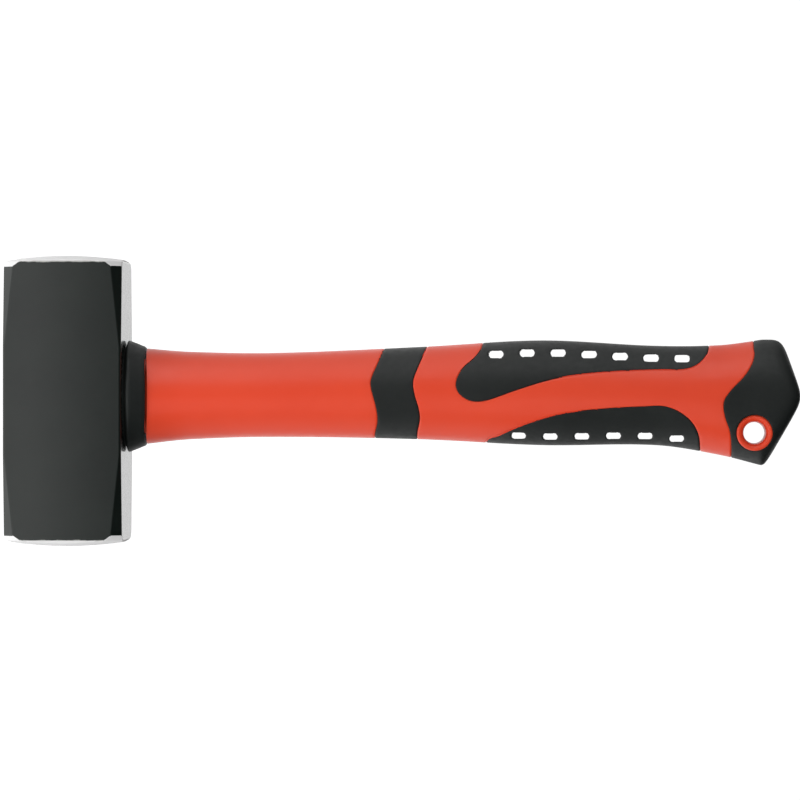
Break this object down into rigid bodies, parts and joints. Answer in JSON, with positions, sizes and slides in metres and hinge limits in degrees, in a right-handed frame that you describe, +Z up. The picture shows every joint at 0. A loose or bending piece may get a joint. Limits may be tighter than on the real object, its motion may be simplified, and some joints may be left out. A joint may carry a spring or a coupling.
{
  "type": "lump hammer",
  "caption": "Short-handled lump hammer: square forged head with crowned, bevelled faces on a two-material handle with slotted soft grip and a hanging hole.",
  "frame": {"origin": "centre of the head's outer face, the face that the hammer stands on", "axes": "+Z up the handle from the head to the butt; +X and -X towards the two striking faces, with the back of the grip on -X and the belly and hanging hole on +X; Y across the two cheeks"},
  "size_m": [0.097, 0.0392, 0.2637],
  "materials": {
    "head_steel": "forged steel under thin dark lacquer, satin, with bare ground bevels round the striking faces",
    "resin": "cast amber epoxy",
    "fibreglass": "cut end of a pultruded glass-fibre rod",
    "soft_black": "matt moulded soft elastomer",
    "hard_red": "semi-gloss moulded plastic"
  },
  "bodies": {
    "root": {"head": "head_steel", "eye_resin": "resin", "core_rod": "fibreglass", "collar": "soft_black", "handle_jacket": "hard_red", "wave_band": "soft_black", "back_grip_pad": "soft_black", "belly_grip_pad": "soft_black", "butt_cap": "soft_black", "hang_hole_ring": "hard_red"}
  },
  "joints": []
}
